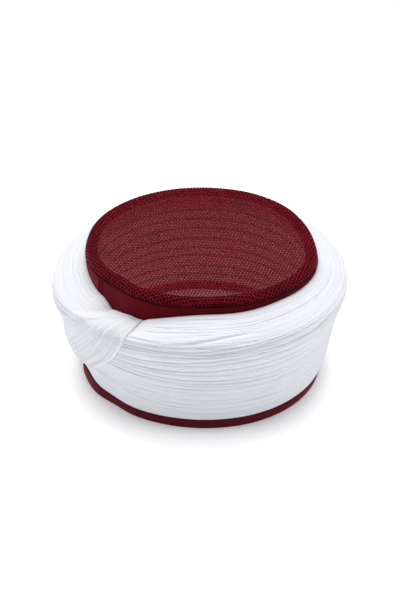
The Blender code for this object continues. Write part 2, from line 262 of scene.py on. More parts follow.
def slow_waves(count, angle, waves, seed):
    """For each of count pieces a smooth random curve round the ring, about -1 to 1:
    the sum over k of cos(k a + a random phase) / sqrt(k), scaled to size."""
    draw = np.random.default_rng(seed)
    order = np.arange(1, waves + 1)
    phase = draw.uniform(0, 2 * np.pi, (count, waves, 1))
    turn = order[None, :, None] * np.radians(angle)[None, None, :]
    curves = (np.cos(turn + phase) / np.sqrt(order)[None, :, None]).sum(1)
    return curves / np.sqrt((0.5 / order).sum()) / 2


def rounded_band(thick, low, high, rounding, outer_steps, inner_steps=3):
    """Section of an upright band with rounded corners, going round it once from its
    outer bottom: columns are the offset from its outer face and the height."""
    turn = np.radians(np.linspace(0, 90, CORNER_POINTS))
    up = np.linspace(low + rounding, high - rounding, outer_steps)
    down = np.linspace(high - rounding, low + rounding, inner_steps)
    cos, sin = rounding * np.cos(turn), rounding * np.sin(turn)
    outer_top = np.stack([cos - rounding, high - rounding + sin], -1)
    inner_top = np.stack([-thick + rounding - sin, high - rounding + cos], -1)
    inner_low = np.stack([-thick + rounding - cos, low + rounding - sin], -1)
    outer_low = np.stack([sin - rounding, low + rounding - cos], -1)
    outer = np.stack([0 * up, up], -1)[1:-1]
    inner = np.stack([0 * down - thick, down], -1)[1:-1]
    return np.concatenate([outer, outer_top, inner_top, inner, inner_low, outer_low])


def band_piece(name, offset, section, relief=None, columns=360):
    """A band carried round the wall at an offset from its outer face. relief adds to
    the offset, as a function of the angle, the height and the side (1 outside)."""
    angle = ring_angles(columns)[None, :]
    out, height = section[:, 0:1], section[:, 1:2]
    radius = wall_radius(angle + 0 * out, height) + offset + out
    if relief is not None:
        radius = radius + relief(angle, height, np.where(out > out.mean(), 1, -1))
    return make_ring(name, ring_grid(angle, radius, height))


# %% [markdown]
# Shader maths reads best as plain sums. A small class wraps a socket, and each
# operator on it adds the Math node that it stands for, so a pattern can be written
# as an expression. Everything that isn't a sum is made by one method.

# %% Shader sums
class Wire:
    """One socket of a material, which can be added to, multiplied and so on."""

    def __init__(self, tree, socket=None):
        self.tree, self.socket = tree, socket

    def make(self, kind, settings=(), inputs=(), output=0):
        """Add a node: its settings first, then its inputs' values or wires."""
        node = self.tree.nodes.new(kind)
        for name, value in dict(settings).items():
            setattr(node, name, value)
        for name, value in dict(inputs).items():
            if isinstance(value, Wire):
                self.tree.links.new(value.socket, node.inputs[name])
            else:
                node.inputs[name].default_value = value
        return Wire(self.tree, node.outputs[output])

    def sum(self, operation, *values):
        """A Math node on values and wires."""
        return self.make("ShaderNodeMath", {"operation": operation}, dict(enumerate(values)))

    def __add__(self, other):
        return self.sum("ADD", self, other)

    def __sub__(self, other):
        return self.sum("SUBTRACT", self, other)

    def __rsub__(self, other):
        return self.sum("SUBTRACT", other, self)

    def __mul__(self, other):
        return self.sum("MULTIPLY", self, other)

    __radd__, __rmul__ = __add__, __mul__

    def sine(self):
        """The sine of the value."""
        return self.sum("SINE", self)

    def between(self, low, high):
        """0 up to low, 1 from high, and smooth in between."""
        inputs = {"Value": self, "From Min": low, "From Max": high}
        return self.make("ShaderNodeMapRange", {"interpolation_type": "SMOOTHSTEP"}, inputs)

    def mix(self, first, second):
        """The first colour where this value is 0, and the second where it is 1."""
        first, second = ((*c, 1) if isinstance(c, tuple) else c for c in (first, second))
        inputs = {0: self, 6: first, 7: second}
        return self.make("ShaderNodeMix", {"data_type": "RGBA"}, inputs, 2)


# %% [markdown]
# All the cloths share one recipe. The colour drifts slowly over the surface, as
# dyed cloth does. The weave is two sets of threads that pass over and under each
# other: the product of two sines, in the piece's UV map, whose unit is the metre.
# It feeds a Bump node, because threads a third of a millimetre apart are too fine
# for the mesh, and it darkens the gaps between the threads a little.

# %% Cloth finishes
SHEEN_ROUGHNESS, SPECULAR = 0.3, 0.03
BLOTCH_DETAIL, BLOTCH_ROUGHNESS, GATHER_DETAIL = 3.0, 0.55, 2.0
WHITE = (1.0, 1.0, 1.0)


def new_finish(name, roughness, sheen, sheen_tint=WHITE):
    """A Principled material with its constants set, and a wire to start from."""
    material = bpy.data.materials.new(name)
    material.use_nodes = True
    shader = material.node_tree.nodes["Principled BSDF"]
    shader.inputs["Roughness"].default_value = roughness
    shader.inputs["Sheen Weight"].default_value = sheen
    shader.inputs["Sheen Roughness"].default_value = SHEEN_ROUGHNESS
    shader.inputs["Sheen Tint"].default_value = (*sheen_tint, 1)
    shader.inputs["Specular IOR Level"].default_value = SPECULAR
    return material, shader, Wire(material.node_tree)


def feed(wire, shader, name):
    """Link a wire to one of a shader's inputs."""
    wire.tree.links.new(wire.socket, shader.inputs[name])


def blotches(start, size):
    """Soft noise on the object's own coordinates, with blotches of a given size."""
    inputs = {"Vector": start.make("ShaderNodeTexCoord", output="Object"), "Scale": 1 / size,
              "Detail": BLOTCH_DETAIL, "Roughness": BLOTCH_ROUGHNESS}
    return start.make("ShaderNodeTexNoise", {}, inputs)


def weave(start, thread):
    """Threads over and under: sin(u) times sin(v) on the UV map, from -1 to 1."""
    place = start.make("ShaderNodeUVMap", {"uv_map": "cloth"})
    u, v = (place.make("ShaderNodeSeparateXYZ", inputs={0: place}, output=way) for way in "XY")
    step = np.pi / thread
    return (u * step).sine() * (v * step).sine()


def gathers(start, length, width):
    """Fine lines that follow the UV map's first way: noise stretched along it."""
    place = start.make("ShaderNodeUVMap", {"uv_map": "cloth"})
    size = {0: place, 1: (1 / length, 1 / width, 1.0)}
    place = start.make("ShaderNodeVectorMath", {"operation": "MULTIPLY"}, size)
    inputs = {"Vector": place, "Scale": 1.0, "Detail": GATHER_DETAIL}
    return start.make("ShaderNodeTexNoise", {}, inputs)


def bump(height, distance):
    """A Bump node whose height 1 stands for a real distance."""
    inputs = {"Height": height, "Distance": distance, "Strength": 1.0}
    return height.make("ShaderNodeBump", {}, inputs, output="Normal")


def cloth_finish(name, dark, light, thread, roughness=0.85, sheen=0.0, depth=0.00008,
                 tint=WHITE, gathered=0.0):
    """Woven cloth between two close colours, gathered into fine lines of some depth."""
    material, shader, start = new_finish(name, roughness, sheen, tint)
    drift = blotches(start, size=0.035)
    fuzz = blotches(start, size=0.0012)
    threads = weave(start, thread)
    tone = (drift * 0.65 + fuzz * 0.25 + threads * 0.12 + 0.02).between(0.2, 0.8)
    feed(tone.mix(dark, light), shader, "Base Color")
    height = threads * depth + fuzz * (0.8 * depth)
    if gathered:
        height = height + gathers(start, length=0.08, width=0.0013) * gathered
    feed(bump(height, 1.0), shader, "Normal")
    return material


def toned(material, colour, share=1.0):
    """Mix a colour into a finish wherever the piece's own tone attribute is high."""
    shader = material.node_tree.nodes["Principled BSDF"]
    start = Wire(material.node_tree)
    plain = Wire(material.node_tree, shader.inputs["Base Color"].links[0].from_socket)
    tone = start.make("ShaderNodeAttribute", {"attribute_name": "tone"}, output="Fac")
    feed((tone * share).mix(plain, colour), shader, "Base Color")


def rgb(red, green, blue):
    """A screen colour, 0 to 255, as the linear colour that shaders use."""
    parts = np.array([red, green, blue]) / 255
    linear = np.where(parts <= 0.04045, parts / 12.92, ((parts + 0.055) / 1.055) ** 2.4)
    return tuple(float(part) for part in linear)


ROSE = rgb(255, 137, 166)
WALL_CLOTH = cloth_finish("wall_cloth", rgb(92, 13, 22), rgb(106, 17, 27), 0.00045,
                          sheen=1.0, tint=rgb(255, 110, 140))
BINDING_CLOTH = cloth_finish("binding_cloth", rgb(84, 25, 33), rgb(98, 31, 40), 0.0006,
                             sheen=0.8, tint=ROSE)
# The roll's near black colour is partly its dark red cloth and partly painted shade, darkest at the
# front.
ROLL_CLOTH_PAINTED_SHADE = cloth_finish("roll_cloth_painted_shade", rgb(30, 4, 7), rgb(42, 6, 10), 0.0005, roughness=0.9)
# The dark trim cloth dresses the inside trim, and also the net seam, where its darkness is painted
# shade.
TRIM_CLOTH_AND_SHADE = cloth_finish("trim_cloth", rgb(50, 10, 16), rgb(66, 14, 22), 0.0006)
BAND_CLOTH = cloth_finish("band_cloth", rgb(216, 208, 202), rgb(232, 226, 222), 0.0005)
LINING_CLOTH_AND_SHADE = cloth_finish("lining_cloth", rgb(230, 188, 175), rgb(242, 208, 195), 0.0005)
WHITE_CLOTH = cloth_finish("white_cloth", rgb(226, 228, 233), rgb(232, 234, 239), 0.00025,
                           depth=0.00003, gathered=0.0008)
print("nodes in the white cloth:", len(WHITE_CLOTH.node_tree.nodes))


def dress(piece, finish, slot, *nodes):
    """Give a piece its finish, let it ride and stand for its nodes."""
    piece.data.materials.append(finish)
    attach(piece, "root")
    if nodes:
        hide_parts(*nodes)
    return piece


# %% [markdown]
# The cap's wall is a strip of cloth closed by one upright seam, at the front left.
# There its edges are folded back, so two low ridges stand beside a groove. The seam
# is relief on the wall's own grid: one smooth bump on either side of the join,
# fading out lower down, where the wound cloth presses on it.

# %% Cap wall
SEAM_ANGLE = 211.5
SEAM_RIDGE = 0.0009
SEAM_WIDTH = 0.0024
SEAM_FADE = (0.060, 0.075)
WALL_THICK = 0.0020
WALL_ROUNDING = 0.0004


def wall_relief(angle, height, side):
    """Two ridges, each exp(-3 (|x| / width - 1)^2) with x the way from the seam, and
    a groove between them, all fading in above the wound cloth."""
    away = turned_from(SEAM_ANGLE, angle) * np.radians(1) * wall_radius(angle, height)
    ridges = np.exp(-(np.abs(away) / SEAM_WIDTH - 1) ** 2 * 3)
    groove = np.exp(-(away / SEAM_WIDTH * 3) ** 2)
    shown = np.clip((height - SEAM_FADE[0]) / (SEAM_FADE[1] - SEAM_FADE[0]), 0, 1)
    return (side > 0) * shown * SEAM_RIDGE * (ridges - groove * 0.7)


section = rounded_band(WALL_THICK, 0, WALL_TOP, WALL_ROUNDING, outer_steps=44)
wall = band_piece("wall", 0, section, wall_relief, columns=720)
dress(wall, WALL_CLOTH, "wall_cloth", "cap_wall")

# %% [markdown]
# The binding covers the wall's raw bottom edge. It is a folded strip, a little
# fuller in the middle of its height than at its edges, where it is sewn down.

# %% Hem binding
BINDING_LOW, BINDING_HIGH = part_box("hem_binding")[0].z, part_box("hem_binding")[1].z
BINDING_THICK = 0.0020
BINDING_LOOSE = 0.0004
CLEAR = 0.0003
BINDING_ROUNDING = 0.0004
BINDING_FULLNESS = 0.00035
PUCKER = 0.00012
PUCKERS = 150


def binding_relief(angle, height, side):
    """Fuller half way up, with fine puckers pulled in by the stitches near the top."""
    up = (height - BINDING_LOW) / (BINDING_HIGH - BINDING_LOW)
    full = BINDING_FULLNESS * (np.sin(np.pi * up) - 0.6)
    pucker = PUCKER * np.sin(np.radians(angle) * PUCKERS) * bell(up, middle=0.8, width=0.2)
    return (side > 0) * (full + pucker)


section = rounded_band(BINDING_THICK, BINDING_LOW, BINDING_HIGH, BINDING_ROUNDING, outer_steps=12)
binding = band_piece("binding", CLEAR + BINDING_THICK + BINDING_LOOSE, section,
                     binding_relief, columns=900)
dress(binding, BINDING_CLOTH, "binding_cloth", "hem_binding")

# %% [markdown]
# Inside, three bands line the wall: a sweatband, a dark trim above it and a tan
# lining. The lining is quilted in level rows about nine millimetres apart, which
# show through the net as fine curved lines. A row is a narrow valley, and between
# two rows the cloth is slightly blown out by its padding.

# %% Inside bands
LINING_ROWS = (0.0215, 0.0292, 0.0373, 0.0478, 0.0552, 0.0646, 0.0745, 0.0835, 0.0920, 0.1008)
ROW_DEPTH = 0.00045
ROW_WIDTH = 0.0009
TAPE_HALF = 0.0009
STITCHES = 140
LINING_THICK, BAND_THICK, TRIM_THICK = 0.0012, 0.0018, 0.0024
INSIDE = -(WALL_THICK + CLEAR)
BAND_DROP = 0.0023
FLOOR_GAP = 0.0006
LINING_STEPS, BAND_STEPS, TRIM_STEPS = 150, 20, 12
# How much darker the lining is above its second highest row, and how much painted shade darkens it
# towards the back.
TOP_ROW_TONE, BACK_PAINTED_SHADE = 0.5, 0.26


def lining_relief(angle, height, side):
    """Valleys along the stitched rows, pressed into the inner face."""
    rows = sum(np.exp(-np.abs(height - row) / ROW_WIDTH) for row in LINING_ROWS)
    stitch = 0.75 + 0.25 * np.sin(np.radians(angle) * STITCHES)
    return (side < 0) * ROW_DEPTH * (rows * stitch - 0.35)


def inside_band(name, node, thick, steps, finish, slot, relief=None, drop=0.0):
    """A band that lies inside the wall, between its node's heights less a drop."""
    low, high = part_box(node)[0].z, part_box(node)[1].z
    low, high = max(low - drop, FLOOR_GAP), high - drop
    section = rounded_band(thick, low, high, thick * 0.35, outer_steps=3, inner_steps=steps)
    return dress(band_piece(name, INSIDE, section, relief), finish, slot, node)


lining = inside_band("lining_cloth", "lining", LINING_THICK, LINING_STEPS, LINING_CLOTH_AND_SHADE,
                     "lining_cloth", lining_relief)
turns, _, heights = read_points(lining)
tapes = sum(np.exp(-((heights - row) / TAPE_HALF) ** 4) for row in LINING_ROWS)
redder = np.maximum(tapes, TOP_ROW_TONE * (heights > LINING_ROWS[-2]))
# The lining is darker and redder along its stitched rows and above the second highest row. Towards
# the back it is painted darker still: painted shade.
set_tone(lining, redder + BACK_PAINTED_SHADE * near(turns, middle=90, width=55))
toned(LINING_CLOTH_AND_SHADE, rgb(92, 16, 24), share=0.65)
head_band = inside_band("head_band", "sweatband", BAND_THICK, BAND_STEPS, BAND_CLOTH,
                        "band_cloth", drop=BAND_DROP)
band_trim = inside_band("head_band_trim", "sweatband_trim", TRIM_THICK, TRIM_STEPS, TRIM_CLOTH_AND_SHADE,
                        "trim_cloth", drop=BAND_DROP)

# %% [markdown]
# The roll on the wall's top edge is padding in a tube of cloth. Its section is an
# oval that is cut flat where it sits, and it is slightly gathered all round.

# %% Padded roll
ROLL_POINTS, ROLL_COLUMNS = 28, 540
ROLL_SEAT = 0.0003
ROLL_FILL = 0.0006
GATHERS = 190
GATHER_DEPTH = 0.00006


def roll_section(angle):
    """Centre radius and half width of the roll at each angle."""
    outer, inner = roll_outer(angle), roll_inner(angle)
    return (outer + inner) / 2 + bells(angle, CROWN_FULLER), (outer - inner) / 2


def turns_round(points):
    """Angles once round a section, as a column, in radians."""
    return np.linspace(0, 2 * np.pi, points, endpoint=False)[:, None]


roll_angles = ring_angles(ROLL_COLUMNS)
centre, half = roll_section(roll_angles[None, :])
middle, tall = (WALL_TOP - ROLL_SEAT + ROLL_HIGH) / 2, (ROLL_HIGH - WALL_TOP + ROLL_SEAT) / 2
turn = turns_round(ROLL_POINTS)
slow = slow_waves(1, roll_angles, waves=40, seed=3)[0]
gather = 1 + GATHER_DEPTH / tall * (np.sin(np.radians(roll_angles) * GATHERS) + slow * 2)
radius = centre + (half + ROLL_FILL) * np.cos(turn) * gather
height = np.maximum(middle + (tall + ROLL_FILL) * np.sin(turn) * gather, WALL_TOP)
roll = make_ring("padded_roll", ring_grid(roll_angles[None, :], radius, height))
# Towards the back the roll is mixed to a lighter red: painted light. The front stays near black as
# painted shade.
set_tone(roll, near(roll_angles, middle=90, width=60) + 0 * height)
toned(ROLL_CLOTH_PAINTED_SHADE, rgb(78, 13, 21))
dress(roll, ROLL_CLOTH_PAINTED_SHADE, "roll_padding", "rim_roll")

# %% [markdown]
# The net is a warp knit with six sided holes, in rows that run from side to side.
# It could be an image with holes in it, but then its threads would be flat, so the
# holes are cut through a mesh: each cell is four rings of six points, from the
# thread's back over its rounded side into the hole and back underneath. All cells
# are laid out flat first and then bent over the roll, as the real net is.

# %% Net laid out flat
MESH_WIDE = 0.00275
MESH_DEEP = 0.00258
LEAN = np.array([(0.9655, -0.166), (0.0691, 1.029)])
NET_LIFT = 0.00080
NET_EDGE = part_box("net_crown")[0].z
DISC_DROP = 0.0024
DISC_SAG = 0.0007
NET_BULGE = 0.0004
DISC_START = 1.25
OVER_ROLL = np.radians([125, 90, 50, 10])
NET_STEP = 0.0004


def roll_curve(samples=80):
    """The net's way from the disc over the roll to its sewn edge: how far along it
    each point lies, its place from the roll's centre and its height."""
    wide = float(roll_section(np.array([270.0]))[1][0]) + NET_LIFT
    high = tall + NET_LIFT
    disc = ROLL_HIGH + NET_LIFT - DISC_DROP
    out = [[-wide * DISC_START], wide * np.cos(OVER_ROLL), [wide + NET_BULGE, wide]]
    up = [[disc + DISC_SAG], middle + high * np.sin(OVER_ROLL), [(NET_EDGE + middle) / 2, NET_EDGE]]
    out, up = np.concatenate(out), np.concatenate(up)
    way = np.concatenate([[0], np.cumsum(np.hypot(np.diff(out), np.diff(up)))])
    at = np.linspace(0, way[-1], samples)
    return at, smooth_curve(at, way, out), smooth_curve(at, way, up)


def smooth_step(value, start=0, width=1):
    """0 up to the start, 1 past the width, and 3 v^2 - 2 v^3 in between."""
    value = np.clip((value - start) / width, 0, 1)
    return value * value * (3 - 2 * value)


def smooth_curve(at, knots, values):
    """Cubic pieces through the values, each knot's slope that of its neighbours."""
    slope = np.gradient(values, knots)
    low = np.clip(np.searchsorted(knots, at, side="right") - 1, 0, len(knots) - 2)
    high = low + 1
    width = knots[high] - knots[low]
    s = (at - knots[low]) / width
    keep = (2 * s ** 3 - 3 * s ** 2 + 1) * values[low] + (3 * s ** 2 - 2 * s ** 3) * values[high]
    lean = (s ** 3 - 2 * s ** 2 + s) * slope[low] + (s ** 3 - s ** 2) * slope[high]
    return keep + lean * width


CURVE_WAY, CURVE_OUT, CURVE_UP = roll_curve()


def net_reach(angle):
    """How far the flat net reaches from its centre before its sewn edge."""
    return roll_section(angle)[0] + CURVE_OUT[0] + CURVE_WAY[-1]


def net_line(angle, reach):
    """Radius and height of the net at a distance from its centre along the cloth."""
    start = roll_section(angle)[0] + CURVE_OUT[0]
    over = reach - start
    disc = CURVE_UP[0] - 2 * DISC_SAG * (1 - np.clip(reach / start, 0, 1) ** 2)
    radius = np.where(over < 0, reach, start - CURVE_OUT[0] + np.interp(over, CURVE_WAY, CURVE_OUT))
    return radius, np.where(over < 0, disc, np.interp(over, CURVE_WAY, CURVE_UP))


def on_net(flat, lift):
    """Bend points of the flat net over the roll, lifted square to its surface."""
    angle, reach = polar(flat)
    here = net_line(angle, reach)
    return lifted(angle, here, net_line(angle, reach - NET_STEP), here, lift)


# %% [markdown]
# The cells are counted in whole steps, half a cell wide and a third of a cell deep,
# so that a corner gets the same two whole numbers from each cell that it belongs
# to. Equal pairs are then one point, and the net is one connected skin.

# %% Net cells
CORNERS = np.array([(0, 2), (-1, 1), (-1, -1), (0, -2), (1, -1), (1, 1)])
HOLE_SHARE, HOLE_CHANGE = 0.50, 0.02
ROLL_STRETCH, STRETCH_WAY = 0.11, 0.006
NET_THICK, SHOULDER_SHARE, INNER_SHARE = 0.00036, 0.86, 0.42
NET_LIMIT, CELL_MARGIN = 0.13, 0.55


def lay(places):
    """Whole steps as places on the flat net, whose rows lean a little."""
    return places * (MESH_WIDE / 2, MESH_DEEP / 3) @ LEAN.T


def net_mesh():
    """Points and quads of the net. A corner shared by three cells is one point."""
    limit = int(NET_LIMIT / MESH_DEEP)
    i, j = np.meshgrid(np.arange(-limit, limit), np.arange(-limit, limit))
    cells = np.stack([2 * i + j % 2, 3 * j], -1).reshape(-1, 2)
    angle, reach = polar(lay(cells))
    cells = cells[reach < net_reach(angle) - MESH_DEEP * CELL_MARGIN]
    keys = (cells[:, None, :] + CORNERS[None]).reshape(-1, 2)
    corners, which = np.unique(keys, axis=0, return_inverse=True)
    which = which.reshape(-1, 6)
    middles = lay(cells)
    angle, reach = polar(middles)
    over = reach - roll_section(angle)[0] - CURVE_OUT[0]
    odd = (cells[:, 0] + cells[:, 1] // 3) // 2 % 2
    share = HOLE_SHARE + HOLE_CHANGE * (1 - 2 * odd)
    share = (share + ROLL_STRETCH * smooth_step(over, 0, STRETCH_WAY))[:, None, None]
    around = lay(corners[which]) - middles[:, None, :]
    shoulder = middles[:, None, :] + around * (1 + share) / 2
    hole = middles[:, None, :] + around * share
    border = lay(corners)
    count, cell_count = len(corners), len(cells)
    points = np.concatenate([
        on_net(border, NET_THICK), on_net(border, 0.0),
        on_net(shoulder.reshape(-1, 2), NET_THICK * SHOULDER_SHARE),
        on_net(hole.reshape(-1, 2), NET_THICK * INNER_SHARE)])
    own = np.arange(cell_count * 6).reshape(-1, 6)
    rings = [which, 2 * count + own, 2 * count + own.size + own, count + which]
    bands = [np.stack([a, np.roll(a, -1, 1), np.roll(b, -1, 1), b], -1)
             for a, b in zip(rings, rings[1:])]
    edges = np.stack([which, np.roll(which, -1, 1)], -1).reshape(-1, 2)
    _, first, times = np.unique(np.sort(edges, 1), axis=0, return_index=True, return_counts=True)
    rim = edges[first[times == 1]]
    rim = np.stack([rim[:, 1], rim[:, 0], rim[:, 0] + count, rim[:, 1] + count], -1)
    quads = np.concatenate([band.reshape(-1, 4) for band in bands] + [rim])
    print("net:", cell_count, "holes")
    return points, quads


def net_finish():
    """Soft knitted yarn: fuzz and slow blotches, both on the object's coordinates."""
    material, shader, start = new_finish("net_yarn", roughness=0.6, sheen=0.75, sheen_tint=ROSE)
    fuzz = blotches(start, size=0.0006)
    drift = blotches(start, size=0.02)
    tone = (fuzz * 0.35 + drift * 0.65).between(0.25, 0.75)
    feed(tone.mix(rgb(85, 2, 11), rgb(107, 4, 17)), shader, "Base Color")
    feed(bump(fuzz, 0.0001), shader, "Normal")
    return material


net = make_mesh("net", *net_mesh())
dress(net, net_finish(), "net", "net_crown")

# %% [markdown]
# Where the net meets the wall its cut edge is turned under and sewn down. A narrow
# rolled strip, carried round the wall's top, hides the cut cells as the real seam does.
# Its dark trim cloth also stands in for the shadow line under the roll: painted shade.

# %% Net seam
SEAM_LOW = NET_EDGE - 0.0004
SEAM_HIGH = NET_EDGE + 0.0014
SEAM_POINTS, SEAM_OUT, SEAM_HALF = 12, 0.0010, 0.0008
SEAM_STITCHES, STITCH_DEPTH = 210, 0.0001

turn = turns_round(SEAM_POINTS)
height = (SEAM_LOW + SEAM_HIGH) / 2 + (SEAM_HIGH - SEAM_LOW) / 2 * np.sin(turn)
radius = (top_outline(roll_angles)[None, :] + SEAM_OUT + SEAM_HALF * np.cos(turn)
          + STITCH_DEPTH * np.sin(np.radians(roll_angles) * SEAM_STITCHES))
net_seam = make_ring("net_seam", ring_grid(roll_angles[None, :], radius, height))
# The seam's dark cloth stands in for the shadow line under the roll: painted shade.
dress(net_seam, TRIM_CLOTH_AND_SHADE, "trim_cloth")

# %% [markdown]
# The white cloth is several metres of thin cotton, gathered along its length and
# wound round the cap, so its surface is rows of pleats that run round it. Its form
# without pleats is a section carried round the wall, which leans out to a shoulder
# and comes back in to the wall. The pleats are then pressed into that form.

# %% Form of the wound cloth
SHOULDER_HEIGHT = WALL_TOP - 0.0212
WRAP_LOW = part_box("wrap")[0].z
EDGE_DROP = 0.0022

# How far up, with the shoulder at 1 and the inner edge at 2, and how far out.
SECTION = np.array([
    (0.00, 0.158), (0.12, 0.270), (0.24, 0.375), (0.46, 0.525), (0.61, 0.630),
    (0.75, 0.765), (0.84, 0.860), (0.92, 0.940), (1.00, 0.985), (1.08, 1.000),
    (1.18, 0.965), (1.42, 0.740), (1.70, 0.390), (1.88, 0.150), (2.00, 0.020),
])


WRAP_WIDER = ((0.0018, 25, 24), (-0.0012, 337, 14))


def wrap_reach(angle):
    """How far the wound cloth stands out from the wall at its shoulder."""
    packed = wrap_outer(angle) - wall_radius(angle, SHOULDER_HEIGHT) - CLEAR
    return packed + bells(angle, WRAP_WIDER)


def section_places():
    """The section's rows as shares of its length from bottom to inner edge."""
    up, out = SECTION.T
    mean_reach = wrap_reach(np.arange(0, 360, 5)).mean()
    height = np.minimum(up, 1) * SHOULDER_HEIGHT
    height = height + np.maximum(up - 1, 0) * (WALL_TOP - EDGE_DROP - SHOULDER_HEIGHT)
    places = np.concatenate([[0], np.cumsum(np.hypot(np.diff(height), np.diff(out * mean_reach)))])
    return places / places[-1]


PLACES = section_places()

# The inner edge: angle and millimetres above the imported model's.
EDGE = np.array([
    (190, 0), (200, 0.8), (206, 1.5), (212, 2.7), (216.5, 3.3), (219, 2.0), (221.5, -0.6),
    (226, -3.5), (230, -2.6), (236, -0.8), (240, -1.2), (242.5, -1.2), (245.5, 0.0),
    (250, 0.0), (256, -0.4), (268, -0.5), (278, -1.0), (288, -1.3), (298, -1.0), (307, -0.4),
    (318, -0.9), (330, -1.1), (342, -1.3), (360, -0.6), (380, 0), (550, 0),
])


def wrap_edge(angle):
    """Height of the cloth's inner edge: pushed up just before the tucked end, which
    presses it down."""
    turned = (angle - EDGE[0, 0]) % 360 + EDGE[0, 0]
    return packed_edge(angle) + smooth_curve(turned, EDGE[:, 0], EDGE[:, 1]) / 1000


SLIM, SLIM_ANGLE, SLIM_WIDTH, SLIM_TOP = 0.85, 201, 17, 0.38
MOUND, MOUND_ANGLE, MOUND_WIDTH, MOUND_PLACE, MOUND_SPREAD = 0.0052, 204, 16, 0.66, 0.14


def wrap_form(angle, along):
    """Radius and height of the form: the section's height runs from the bottom edge
    to the shoulder and on to the inner edge, and its reach is added to the wall. Low
    at the left the cloth is slimmer, and higher there it is piled up."""
    up = smooth_curve(along, PLACES, SECTION[:, 0])
    out = smooth_curve(along, PLACES, SECTION[:, 1])
    height = WRAP_LOW + np.minimum(up, 1) * (SHOULDER_HEIGHT - WRAP_LOW)
    height = height + np.maximum(up - 1, 0) * (wrap_edge(angle) - SHOULDER_HEIGHT)
    slim = 1 - SLIM * near(angle, SLIM_ANGLE, SLIM_WIDTH) * smooth_step(1 - along / SLIM_TOP)
    mound = MOUND * near(angle, MOUND_ANGLE, MOUND_WIDTH) * bell(along, MOUND_PLACE, MOUND_SPREAD)
    radius = wall_radius(angle, height) + CLEAR + out * wrap_reach(angle) * slim + mound
    return np.array([radius, height])


def on_form(form, angle, along, step, lift):
    """A point of a form, lifted square to its section between a step to each side."""
    ahead, behind = np.minimum(along + step, 1), np.maximum(along - step, 0)
    return lifted(angle, form(angle, along), form(angle, ahead), form(angle, behind), lift)


print("wound cloth:", round(float(wrap_reach(270)) * 1000, 1), "mm thick at the front")


# %% [markdown]
# A pleat is round on its back and sharp in the groove beside it. If grooves were
# only lines of sine waves, they would all look alike. Instead every groove has its
# own place, which wanders, and its own depth, which fades in and out along it.

# %% Pleats
def pleat_relief(along, grooves, depths, roundness):
    """Relief of a row of pleats: 0 on their backs and -depth in their grooves.

    The pleat number of a point is the sum, over the pleats, of how far it lies
    across each. Its whole part names the pleat, and the rest, t, runs from 0 to 1
    across it. The relief is -(depth before x (1 - t)^n + depth after x t^n)."""
    number = np.zeros_like(along)
    for low, high in zip(grooves[:-1], grooves[1:]):
        number += np.clip((along - low[:, None]) / (high - low)[:, None], 0, 1)
    pleat = np.minimum(number.astype(int), len(grooves) - 2)
    t = number - pleat
    column = np.arange(along.shape[0])[:, None]
    before, after = depths[pleat, column], depths[pleat + 1, column]
    return -(before * (1 - t) ** roundness + after * t ** roundness)


PLEAT_WIDTHS, LEAST_WIDTH = (0.6, 1.5), 0.12


def random_grooves(count, angle, seed, unevenness, waves):
    """Places of grooves from 0 to 1: widths that differ and drift, added up."""
    draw = np.random.default_rng(seed)
    drift = 1 + unevenness * slow_waves(count, angle, waves, seed)
    width = np.maximum(draw.uniform(*PLEAT_WIDTHS, (count, 1)) * drift, LEAST_WIDTH)
    places = np.concatenate([np.zeros((1, len(angle))), np.cumsum(width, 0)])
    return places / places[-1]


FOLD_DEPTH = 0.0013
FOLD_ANGLES = np.array([200, 238, 254, 270, 290, 310, 326, 345, 560])
FREE_BACK, FREE_FRONT, LEAST_FOLD = 0.010, 0.001, 0.008

# The depth of each fold, and its place along, in thousandths, at 238, 254, 270, 290,
# 310 and 326 degrees.
FOLDS = np.array([
    (0.7, 141, 106, 82, 84, 98, 125), (0.7, 184, 150, 130, 140, 154, 190),
    (0.7, 214, 191, 175, 187, 203, 245), (0.5, 280, 250, 236, 239, 262, 290),
    (0.4, 327, 309, 290, 286, 305, 328), (0.6, 352, 334, 331, 332, 346, 365),
    (0.7, 393, 386, 384, 378, 388, 405), (0.7, 431, 422, 417, 424, 432, 445),
    (0.8, 462, 472, 478, 490, 505, 515), (1.2, 482, 498, 515, 538, 557, 585),
    (1.3, 525, 556, 578, 606, 625, 662), (1.1, 552, 584, 614, 655, 690, 712),
    (1.5, 625, 650, 664, 700, 722, 738), (1.4, 655, 682, 714, 736, 757, 768),
    (0.9, 715, 724, 730, 752, 775, 785), (0.8, 733, 736, 748, 768, 790, 804),
    (0.6, 826, 808, 834, 855, 868, 878), (0.8, 882, 858, 857, 872, 884, 893),
    (1.1, 926, 900, 877, 885, 897, 905), (0.5, 945, 941, 917, 911, 920, 928),
    (0.9, 966, 966, 957, 946, 950, 952),
])
FOLDS[:, 1:] /= 1000


def fold_places(angle):
    """Where each fold lies at each angle: through the table's places at the front,
    and wandering more freely round the back."""
    first, last = FOLDS[:, 1:2], FOLDS[:, -1:]
    knots = np.concatenate([first, FOLDS[:, 1:], last, first], 1)
    turned = (angle - FOLD_ANGLES[0]) % 360 + FOLD_ANGLES[0]
    places = np.array([smooth_curve(turned, FOLD_ANGLES, row) for row in knots])
    free = FREE_BACK * (1 - near(angle, middle=282, width=62)) + FREE_FRONT
    places = places + free * slow_waves(len(FOLDS), angle, waves=7, seed=5)
    for k in range(1, len(places)):
        places[k] = np.maximum(places[k], places[k - 1] + LEAST_FOLD)
    return places


print("main folds:", len(FOLDS))

# %% [markdown]
# Here and there one turn of the cloth crosses another at a slant, with a clear
# edge. A crossing is a low step along a slanting line, which fades out at both ends.

